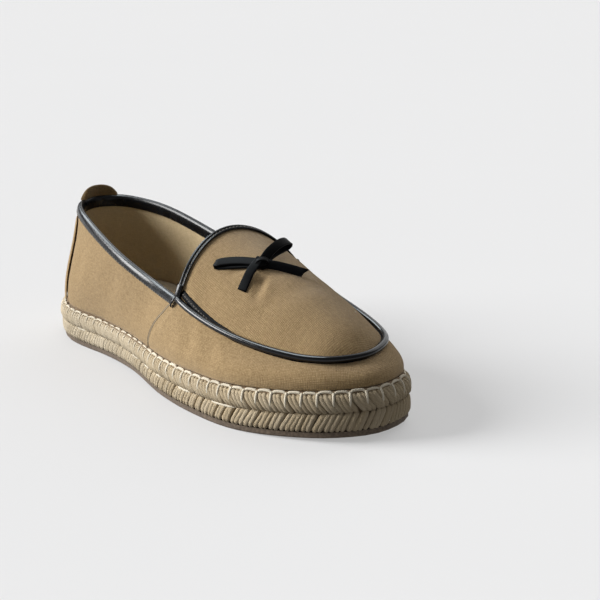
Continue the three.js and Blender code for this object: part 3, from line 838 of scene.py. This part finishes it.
lastSeam, lastCrown = apronArea["count"] - 1, apronArea["crowns"] - 1
seamTable = [(sideAt(seamOuter, k * mm).y, sideAt(seamInner, k * mm).y) for k in range(apronArea["count"])]


def onApron(point):
    if point.x > guides["junctionX"] * mm:
        outer, inner = seamTable[min(int(point.x / mm), lastSeam)]
        return outer < point.y < inner and point.x < apronArea["tipX"] * mm
    low = guides["junctionHeight"] + apronArea["edgeGap"]
    return point.x > apronArea["tongueX"] * mm and point.z > low * mm


def crownAt(x):
    k = min(max(int(x / mm), apronArea["seamFrom"]), lastSeam)
    y = sum(seamTable[k]) / 2
    return straightDown(upperTree, x, y)[0] or Vector((x, y, guides["toeSeamHeight"] * mm))


crownTable = [crownAt(max(k, apronArea["crownFrom"]) * mm) for k in range(apronArea["crowns"])]
soleTree = pointTree([Vector((point.x, point.y, 0)) for point in solePath["points"]])


def wallUv(point):
    flat = Vector((point.x, point.y, 0))
    near, index = soleTree.find(flat)[:2]
    distance = solePath["total"] * index / (len(solePath["points"]) - 1)
    heading = pathHeading(solePath, distance)
    offset = flat - near
    inset = offset.x * heading.y - offset.y * heading.x
    return distance + offset.dot(Vector((heading.x, heading.y, 0))), point.z - 0.5 * inset


def apronUv(point):
    place = min(max(point.x / mm, 0), lastCrown - 0.1)
    k = int(place)
    crown = crownTable[k].lerp(crownTable[k + 1], place - k)
    chord = math.hypot(point.y - crown.y, point.z - crown.z)
    return point.x, math.copysign(chord, point.y - crown.y)


def clothUv(bm):
    layer = bm.loops.layers.uv.new("cloth")
    total = solePath["total"]
    walls = {}
    aprons = {}
    for face in bm.faces:
        flat = onApron(face.calc_center_median())
        known, locate = (aprons, apronUv) if flat else (walls, wallUv)
        start = None
        for loop in face.loops:
            key = loop.vert.index
            if key not in known:
                known[key] = locate(loop.vert.co)
            along, rise = known[key]
            start = along if start is None else start
            # a face over the seam of the round stays on one side of it
            loop[layer].uv = (along - total * round((along - start) / total), rise)


def creaseShift(point, creases):
    shift = 0.0
    start, run = upperLook["creaseFade"]
    rim = upperLook["creaseRim"]
    for depth, width, samples, middle, reach in creases:
        if (point - middle).length > reach:
            continue
        last = len(samples) - 1
        gap, share = min(((point - sample).length, k / last) for k, sample in enumerate(samples))
        ratio = gap / width
        raised = rim["height"] * math.exp(-((ratio - rim["at"]) / rim["width"]) ** 2)
        shift -= depth * math.sin(math.pi * (start + run * share)) * (math.exp(-ratio ** 2) - raised)
    return shift


def preparedCreases():
    ready = []
    for depth, width, marks in upperLook["creases"]:
        points = [upperTree.find_nearest(place(*mark))[0] for mark in marks]
        samples = evenPath(smoothCurve(points), count=16)["points"]
        middle = samples[8]
        reach = max((sample - middle).length for sample in samples) + 4 * width * mm
        ready.append((depth * mm, width * mm, samples, middle, reach))
    return ready


def outerSide(vert):
    core = Vector((min(max(vert.co.x, -0.095), 0.085), guides["levelShift"] * mm, 0.03))
    return 1 if vert.normal.dot(vert.co - core) > 0 else -1


def smoothedNode(name, levels, flat=0.8, square=1.2):
    bm = copiedNode(name)
    bmesh.ops.join_triangles(bm, faces=bm.faces[:], angle_face_threshold=flat, angle_shape_threshold=square)
    return refined(bm, levels)


def makeUpper():
    bm = smoothedNode("upper", upperLook["levels"], 1.0)
    creases = preparedCreases()
    broad, fine = upperLook["swellScales"]
    moves = []
    for vert in bm.verts:
        side = outerSide(vert)
        swell = noise.noise(vert.co * broad) + 0.5 * noise.noise(vert.co * fine)
        amount = creaseShift(vert.co, creases) + swell * upperLook["unevenness"] * mm
        moves.append((vert, side, vert.normal * side * amount))
    outside = {vert.index for vert, side, move in moves if side > 0}
    for vert, side, move in moves:
        vert.co += move
    for face in bm.faces:
        shown = sum(vert.index in outside for vert in face.verts)
        face.material_index = 0 if shown > len(face.verts) / 2 else 1
    clothUv(bm)
    return finishPiece("upper_cloth", bm, [canvasMaterial, liningMaterial], ("upper",))


clothTree = treeOfPiece(makeUpper())
print("upper made")

# Sole: outsole, braided side and blanket stitch

braidLook = {
    "bundles": 84,
    "cordsPerBundle": 3,
    "lowerCords": 236,
    "slant": 6.0,
    "bundleWidth": 6.9,
    "cordDepth": 2.6,
    "lowerDepth": 2.2,
    "waistRise": 0.47,
    "jitter": 0.25,
    "heelReach": (0.27, 0.12),
    "coreInset": 1.3,
}


def heelShare(distance):
    share = distance / solePath["total"]
    share = min(share % 1, 1 - share % 1)
    far, fade = braidLook["heelReach"]
    return min(max((far - share) / fade, 0), 1)


def scatter(size):
    return random.uniform(-size, size)


# rows of a cord: share of the slant, millimetres outwards, share of the sole's height
def soleLineOf(start, reach, rows):
    return [solePlace(start + reach * share, out * mm, rise) for share, out, rise in rows]


def makeUpperCords(cords, tube):
    pitch = solePath["total"] / braidLook["bundles"]
    wide, count = braidLook["bundleWidth"] * mm, braidLook["cordsPerBundle"]
    for i in range(braidLook["bundles"]):
        lean = braidLook["slant"] * mm * random.uniform(0.82, 1.15)
        shade = random.uniform(0.2, 0.42)
        for k in range(count):
            base = i * pitch + (k + 0.5) / count * wide
            soft = heelShare(base)
            crown = 1 - 0.35 * soft
            middle = 1 - abs(k - (count - 1) / 2) * 0.35
            rows = (
                (-0.1, -3.2, 0.87), (0.0, -1.4, 0.9), (0.12, -0.2 * crown, 0.85),
                (0.4, 0.1 * crown + 0.45 * middle, 0.73), (0.75, 0.4 * middle, 0.58),
                (1.0, -0.9, braidLook["waistRise"]),
            )
            line = soleLineOf(base + scatter(braidLook["jitter"]) * mm, lean, rows)
            width = wide / count * (1.35 + 0.25 * soft + scatter(0.15))
            tint = shade + 0.46 * soft + scatter(0.08)
            sweep(cords, tube, line, width, braidLook["cordDepth"] * mm, soleOutward(base), tint, roundEnds)


def makeLowerCords(cords, tube):
    count = braidLook["lowerCords"]
    pitch = solePath["total"] / count
    rows = (
        (1.0, -1.0, braidLook["waistRise"] + 0.02), (0.72, -0.1, 0.38), (0.4, 0.15, 0.22),
        (0.1, -0.1, 0.06), (0.0, -1.2, 0.0),
    )
    for i in range(count):
        base = i * pitch
        soft = heelShare(base)
        paired = 0.32 * (1 if i % 2 else -1) * (random.random() < 0.55)
        start = base + (paired + scatter(braidLook["jitter"])) * mm
        line = soleLineOf(start, braidLook["slant"] * mm * random.uniform(0.8, 1.2), rows)
        width = pitch * (1.05 + 0.3 * soft + random.uniform(-0.14, 0.2))
        tint = 0.32 + 0.46 * soft + scatter(0.18)
        sweep(cords, tube, line, width, braidLook["lowerDepth"] * mm, soleOutward(base), tint, roundEnds)


def makeBraid():
    random.seed(11)
    cords = newBundle()
    tube = unitTube(8, 9)
    makeUpperCords(cords, tube)
    makeLowerCords(cords, tube)
    core = copiedNode("midsole")
    for vert in core.verts:
        vert.co -= Vector((vert.normal.x, vert.normal.y, 0)) * braidLook["coreInset"] * mm
    strandLayer(core)
    # the inset core shows between the cords in its darker painted-shade colour
    for face in core.faces:
        face.material_index = 1
    pourInto(cords, core)
    return finishPiece("braided_sole", cords, [juteMaterial, juteGapShade], ("midsole",))


blanketLook = {
    "thread": 1.3,
    "runThread": 1.15,
    "rise": 0.955,
    "grooveRise": 0.46,
    "grooveThread": (1.2, 1.0),
    "grooveRuns": (
        (0.205, 11), (0.235, 9), (0.262, 8), (0.30, 14), (0.345, 20),
        (0.62, 14), (0.7, 10), (0.1, 12), (0.86, 12),
    ),
}


def makeBlanketStitch():
    random.seed(12)
    threads = newBundle()
    tube = unitTube(8, 8)
    total = solePath["total"]
    pitch = total / braidLook["bundles"]
    for i in range(braidLook["bundles"]):
        base = i * pitch
        out = soleOutward(base)
        soft = heelShare(base)
        size = blanketLook["thread"] * mm * (1 - 0.15 * soft)
        reach = (0.5 + 0.1 * soft) * random.uniform(0.95, 1.05)
        drop = (
            (0.0, -2.2, 0.97), (0.2, -1.0, 0.97), (0.4, 0.35, 0.9), (0.6, 1.1 - 0.3 * soft, 0.79),
            (0.8, 1.0 - 0.3 * soft, 0.66), (1.0, -0.4, reach),
        )
        line = soleLineOf(base, 0.2 * mm, drop)
        sweep(threads, tube, line, size, size, out, 0.6 + scatter(0.12), roundEnds)
        rise = blanketLook["rise"] + scatter(0.012)
        run = (
            (0.02, -0.9, rise - 0.05), (0.12, -1.35, rise + 0.02), (0.35, -1.55, rise + 0.035),
            (0.65, -1.55, rise + 0.035), (0.88, -1.35, rise + 0.02), (0.98, -0.9, rise - 0.05),
        )
        size *= blanketLook["runThread"]
        sweep(threads, tube, soleLineOf(base, pitch, run), size, size, upward, 0.7 + scatter(0.12), roundEnds)
    # running stitches that show in the groove
    wide, thick = blanketLook["grooveThread"]
    for share, length in blanketLook["grooveRuns"]:
        start = share * total
        rows = [(k / 4, 0.35 if 0 < k < 4 else -0.6, blanketLook["grooveRise"]) for k in range(5)]
        line = soleLineOf(start, length * mm, rows)
        sweep(threads, tube, line, wide * mm, thick * mm, soleOutward(start), 0.75, roundEnds)
    return finishPiece("blanket_stitch", threads, [threadMaterial])


makeBraid()
makeBlanketStitch()
nodes["outsole"].material_slots[0].link = "OBJECT"
nodes["outsole"].material_slots[0].material = rubberFinish
print("sole made")

# Insole, heel counter and heel tab


def planeUv(bm):
    layer = bm.loops.layers.uv.new("cloth")
    for face in bm.faces:
        for loop in face.loops:
            loop[layer].uv = (loop.vert.co.x, loop.vert.co.y)


def makeInsole():
    bm = smoothedNode("insole", 1)
    planeUv(bm)
    return finishPiece("insole_sock", bm, [sockMaterial], ("insole",))


heelLook = {"middle": -100, "counterSink": 0.2, "tabSink": 1.6, "tabSpread": 0.06}


def makeCounter():
    bm = smoothedNode("heel_counter", 2)
    for vert in bm.verts:
        outward = vert.co - Vector((heelLook["middle"] * mm, guides["levelShift"] * mm, vert.co.z))
        vert.co -= outward.normalized() * heelLook["counterSink"] * mm
    clothUv(bm)
    return finishPiece("counter_cloth", bm, [canvasMaterial], ("heel_counter",))


def makeTab():
    bm = smoothedNode("heel_tab", 2)
    low = min(vert.co.z for vert in bm.verts)
    high = max(vert.co.z for vert in bm.verts)
    for vert in bm.verts:
        drop = 1 - (vert.co.z - low) / (high - low)
        vert.co.z -= heelLook["tabSink"] * mm * drop
        vert.co.y *= 1 + heelLook["tabSpread"] * drop
    clothUv(bm)
    return finishPiece("tab_cloth", bm, [tabMaterial], ("heel_tab",))


makeInsole()
makeCounter()
makeTab()
print("heel pieces made")

# Leather bindings and piping

trimLook = {
    "pipingRadius": 1.65,
    "pipingSeat": 1.75,
    "pipingEnds": (0.004, 0.992),
    "pipingDip": 0.7,
    "pipingPoints": 40,
    # pitch, length and thread of a row of stitches
    "coarse": (2.7, 1.9, (0.45, 0.45)),
    "fine": (2.2, 1.5, (0.5, 0.5)),
    "stitchOut": 4,
    "stitchDrop": 3.1,
    "stitchEnds": (6, 6),
    "fineEnds": (4, 4),
    "tapeWidth": 3.6,
    "tapeThickness": 0.7,
    "tapeInset": (1.9, 0.1),
    "tapeSlide": 48.0,
    "tapeEnds": (0.012, 0.976),
    "tapePoints": 60,
    "tongueLine": 2.5,
    "tongueRidges": ((0.3, -1.3, 0.7), (-0.7, 0, 0.6), (0.35, 1.1, 0.5)),
}


def ridge(gap, middle, width):
    return math.exp(-((gap / mm - middle) / width) ** 2)


def grooveTongue(bm):
    edge = pointTree(tonguePath["points"])
    shifts = []
    for vert in bm.verts:
        if outerSide(vert) > 0:
            gap = edge.find(vert.co)[2]
            line, rows = trimLook["tongueLine"], trimLook["tongueRidges"]
            amount = sum(height * ridge(gap, line + shift, width) for height, shift, width in rows)
            shifts.append((vert, vert.normal * amount * mm))
    for vert, shift in shifts:
        vert.co += shift


def makeBinding(name, node, levels, shape=None):
    bm = smoothedNode(node, levels, 1.2, 1.4)
    if shape:
        shape(bm)
    return finishPiece(name, bm, [blackLeather], (node,))


collarTree = treeOfPiece(makeBinding("collar_leather", "collar_binding", 2))
tongueTree = treeOfPiece(makeBinding("tongue_leather", "tongue_binding", 3, grooveTongue))


def seamLift(distance, lift):
    point = onPath(seamPath, distance)
    outward = flatSide(pathHeading(seamPath, distance, 3 * mm))
    return point + (outward * 0.6 + Vector((0, 0, 0.8))) * lift


def makePiping():
    bundle = newBundle()
    tube = unitTube(14, 150)
    first, run = trimLook["pipingEnds"]
    count = trimLook["pipingPoints"]
    line = []
    for k in range(count + 1):
        share = k / count
        dip = trimLook["pipingDip"] * (1 - math.sin(math.pi * share) ** 0.12)
        line.append(seamLift(seamPath["total"] * (first + run * share), (trimLook["pipingSeat"] - dip) * mm))
    size = 2 * trimLook["pipingRadius"] * mm
    sweep(bundle, tube, line, size, size, upward)
    return finishPiece("piping_leather", bundle, [pipingLeather], ("apron_piping",))


makePiping()


def addStitches(bundle, path, tree, ends, offset, pitch, length, size, rows=(-0.3, 0.12, 0.12, -0.3)):
    tube = unitTube(6, 4)
    wide, thick = size
    distance = ends[0] * mm
    while distance < path["total"] - ends[1] * mm:
        line = []
        for k, rise in enumerate(rows):
            at = distance + length * mm * k / (len(rows) - 1)
            near, normal = tree.find_nearest(onPath(path, at) + offset(at))[:2]
            line.append(near + normal * rise * mm)
        profile = roundEnds if len(rows) > 3 else None
        sweep(bundle, tube, line, wide * mm, thick * mm, normal, 0.5, profile)
        distance += pitch * mm


def makeTrimStitches():
    bundle = newBundle()

    def collarOffset(distance):
        outward = flatSide(pathHeading(collarPath, distance))
        middle = onPath(collarPath, distance)
        if outward.dot(middle - Vector((-0.05, 0, 0))) < 0:
            outward = -outward
        return (outward * trimLook["stitchOut"] - upward * trimLook["stitchDrop"]) * mm

    addStitches(bundle, collarPath, collarTree, trimLook["stitchEnds"], collarOffset, *trimLook["coarse"])

    def tongueOffset(distance):
        edge = onPath(tonguePath, distance)
        ahead, normal = clothTree.find_nearest(edge + Vector((4, 0, 0)) * mm)[:2]
        return (ahead - edge).normalized() * trimLook["tongueLine"] * mm + normal * 1.6 * mm

    addStitches(bundle, tonguePath, tongueTree, trimLook["fineEnds"], tongueOffset, *trimLook["fine"])
    return finishPiece("trim_stitches", bundle, [darkThread])


def tapePoint(distance):
    point = onPath(seamPath, distance)
    inward = -flatSide(pathHeading(seamPath, distance, 3 * mm))
    slid = min(1, min(distance, seamPath["total"] - distance) / trimLook["tapeSlide"] / mm)
    first, last = trimLook["tapeInset"]
    probe = point + inward * (first + (last - first) * slid) * mm
    return straightDown(clothTree, probe.x, probe.y)


def makeTape():
    bundle = newBundle()
    tube = unitTube(8, 120, 0.6)
    first, run = trimLook["tapeEnds"]
    count = trimLook["tapePoints"]
    points = [tapePoint(seamPath["total"] * (first + run * k / count)) for k in range(count + 1)]
    line = [hit + normal * 0.15 * mm for hit, normal in points]

    def tapeNormal(share):
        return points[round(share * count)][1]

    sweep(bundle, tube, line, trimLook["tapeWidth"] * mm, trimLook["tapeThickness"] * mm, tapeNormal)
    return finishPiece("seam_tape", bundle, [laceLeather])


tapeTree = treeOfPiece(makeTape())


def makeTapeStitches():
    bundle = newBundle()

    def tapeOffset(distance):
        hit, normal = tapePoint(distance)
        return hit + normal * 0.8 * mm - onPath(seamPath, distance)

    addStitches(bundle, seamPath, tapeTree, trimLook["fineEnds"], tapeOffset, *trimLook["fine"])
    return finishPiece("tape_stitches", bundle, [darkThread])


sideSeam = {
    "line": (
        (27, -37.6, 51), (19.6, -37.2, 46.9), (13.1, -38.4, 41.1), (8.3, -39.4, 36.5), (4.2, -40.6, 30.9),
        (1.2, -41, 24.5), (0, -41, 20.6),
    ),
    "innerShift": 2,
    "points": 20,
    # width of the thin dark cord that is a painted shadow line along the seam
    "shadowLineWidth": 0.65,
    "lapGap": 1.0,
    "lapWidth": 1.1,
    "lapHeight": 0.5,
    "stitchGap": 1.7,
    "stitches": (2.3, 1.5, (0.4, 0.35), (-0.1, 0.1, -0.1)),
    "stitchEnds": (3, 4),
}


def makeSideSeams():
    bundle = newBundle()
    stitches = newBundle()
    tube = unitTube(6, 40)
    count, ends = sideSeam["points"], sideSeam["stitchEnds"]
    beside = Vector((sideSeam["stitchGap"] * mm, 0, 0))
    for side in (1, -1):
        shift = sideSeam["innerShift"] if side < 0 else 0
        path = evenPath(smoothCurve([place(x, y * side - shift, z) for x, y, z in sideSeam["line"]]))
        outward = Vector((0, -side, 0))
        line = [clothTree.find_nearest(onPath(path, path["total"] * k / count))[0] for k in range(count + 1)]
        # thin dark cord on the seam: a painted shadow line
        size = sideSeam["shadowLineWidth"] * mm
        sweep(bundle, tube, line, size, size, outward, 0.2)
        # raised lap ridge on the toe side; its lighter cream tint is painted highlight
        lapped = [clothTree.find_nearest(at + Vector((sideSeam["lapGap"] * mm, 0, 0)))[0] for at in line]
        sweep(bundle, tube, lapped, sideSeam["lapWidth"] * mm, sideSeam["lapHeight"] * mm, outward, 0.42)
        addStitches(stitches, path, clothTree, ends, lambda distance: beside, *sideSeam["stitches"])
    finishPiece("side_seam_shadow_and_highlight", bundle, [seamShadowAndHighlight])
    finishPiece("side_seam_stitches", stitches, [edgeThread])


junctionFold = {
    "x": 26.0,
    "inside": 0.6,
    "lean": 0.6,
    "width": 3.2,
    "thickness": 1.1,
    "wrap": (
        (1.9, -4.4), (2.6, -3.2), (2.7, -1.2), (1.6, 0.5),
        (-0.4, 1.1), (-2.2, 0.4), (-3.1, -2.0), (-3.0, -5.0),
    ),
    "footThickness": 1.7,
    "footOut": 0.9,
    "tongueFoot": ((0, 1.2, -0.6), (2, 1.6, 0.2), (4.5, 2.1, 0.5), (7.5, 2.5, 0.6)),
}


def makeJunctionFolds():
    bundle = newBundle()
    tube = unitTube(12, 24, 0.6)
    width, depth = junctionFold["width"] * mm, junctionFold["thickness"] * mm
    for side in (-1, 1):
        half = guides["apronHalfWidth"] - junctionFold["inside"]
        base = place(junctionFold["x"], side * half, guides["junctionHeight"])
        rows = junctionFold["wrap"]
        line = [base + Vector((junctionFold["lean"] * rise, side * out, rise)) * mm for out, rise in rows]

        def foldHint(share, base=base, line=line):
            point = line[round(share * (len(line) - 1))]
            return (point - base + upward * 3 * mm).normalized()

        sweep(bundle, tube, line, width, depth, foldHint, 0.5, roundEnds)
        foot = []
        for distance, ahead, rise in junctionFold["tongueFoot"]:
            at = distance * mm if side < 0 else tonguePath["total"] - distance * mm
            foot.append(onPath(tonguePath, at) + Vector((ahead, side * junctionFold["footOut"], rise)) * mm)
        sweep(bundle, tube, foot, width, junctionFold["footThickness"] * mm, Vector((0.35, side, 0.3)))
    return finishPiece("junction_folds", bundle, [blackLeather])


makeTrimStitches()
makeTapeStitches()
makeSideSeams()
makeJunctionFolds()
print("trims made")

# Bow: flat leather lace, knotted on the apron

bowLook = {
    "centre": (58.5, -6.5),
    "laceWidth": 4.8,
    "laceThickness": 1.0,
    "knotLift": 2.9,
    "knotUp": (0.1, -0.2, 1),
    "knotRings": ((-62, -1.2), (-35, 0.9), (25, 0.0)),
    "ringSize": (3.1, 2.5),
    "ringWidth": 2.9,
    "coreSize": (3.4, 3.0, 2.5),
}
bowArms = [
    {"heading": -142, "roll": 0, "cut": 0, "points": (
        (0, 0.2, 2.2), (6, 0.4, 1.4), (15, 0.5, 0.9), (22, 0.3, 0.8), (24.6, 0, 1.4),
        (22, -0.3, 2.1), (15, -0.5, 2.3), (6, -0.4, 2.5), (0, -0.2, 2.6))},
    {"heading": 115, "roll": 12, "cut": 0, "points": (
        (0, 0, 2.4), (6, 0.1, 1.8), (13, 0.1, 2.2), (19, -0.2, 3.6), (21.6, -0.6, 5.2), (22.2, -0.8, 6.6),
        (20.4, -1.0, 7.8), (14, -1.1, 7.6), (6, -0.7, 5.4), (0, -0.2, 3.4))},
    {"heading": -72, "roll": 0, "cut": 0.12, "points": (
        (-1, -1.0, 4.4), (3, -1.2, 4.0), (7, -1.0, 2.4), (11, -0.8, 1.6), (15.4, -0.4, 1.3))},
    {"heading": 39, "roll": 48, "cut": 0.85, "points": (
        (0, 0, 2.8), (7, 0, 2.4), (14, 0, 2.3), (21, 0, 2.5))},
]


def bowPlace(along, aside, lift, heading):
    turned = Matrix.Rotation(math.radians(heading), 2) @ Vector((along, aside))
    spot = place(bowLook["centre"][0] + turned.x, bowLook["centre"][1] + turned.y, 0)
    near, normal = straightDown(clothTree, spot.x, spot.y)
    return near + (normal + upward * 0.5).normalized() * lift * mm


def armHint(line, across):
    path = evenPath(smoothCurve(line, steps=6), count=40)
    return lambda share: pathHeading(path, path["total"] * share).cross(across)


def makeArm(bundle, lace, arm):
    line = [bowPlace(*point, arm["heading"]) for point in arm["points"]]
    normal = clothTree.find_nearest(line[len(line) // 2])[1]
    ahead = bowPlace(10, 0, 0, arm["heading"]) - bowPlace(0, 0, 0, arm["heading"])
    side = normal.cross(ahead).normalized()
    roll = math.radians(arm["roll"])
    across = side * math.cos(roll) + normal * math.sin(roll)
    width, depth = bowLook["laceWidth"] * mm, bowLook["laceThickness"] * mm
    sweep(bundle, lace, line, width, depth, armHint(line, across), 0.5, None, arm["cut"])


def makeRing(bundle, tube, middle, turn, shift):
    knotUp = Vector(bowLook["knotUp"]).normalized()
    wide, high = bowLook["ringSize"]
    axis = Vector((math.cos(math.radians(turn)), math.sin(math.radians(turn)), 0))
    side = knotUp.cross(axis).normalized()
    points = []
    for k in range(17):
        a = math.tau * k / 16
        points.append(middle + (axis * shift + side * math.cos(a) * wide + knotUp * math.sin(a) * high) * mm)

    def ringHint(share):
        return side * math.cos(math.tau * share) + knotUp * math.sin(math.tau * share)

    sweep(bundle, tube, points, bowLook["ringWidth"] * mm, bowLook["laceThickness"] * mm, ringHint)


def makeBow():
    bundle = newBundle()
    lace = unitTube(16, 40, 0.5)
    for arm in bowArms:
        makeArm(bundle, lace, arm)
    middle = bowPlace(0, 0, bowLook["knotLift"], 0)
    tube = unitTube(12, 28, 0.6)
    for turn, shift in bowLook["knotRings"]:
        makeRing(bundle, tube, middle, turn, shift)
    core = bmesh.new()
    bmesh.ops.create_uvsphere(core, u_segments=20, v_segments=12, radius=1)
    bmesh.ops.scale(core, verts=core.verts, vec=Vector(bowLook["coreSize"]) * mm)
    bmesh.ops.translate(core, verts=core.verts, vec=middle)
    pourInto(bundle, core)
    return finishPiece("bow_lace", bundle, [laceLeather], ("bow",))


makeBow()
print("bow made")

sizes = {"cad": cadBounds, "visual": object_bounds()}
sizes = {name: [list(corner) for corner in box] for name, box in sizes.items()}
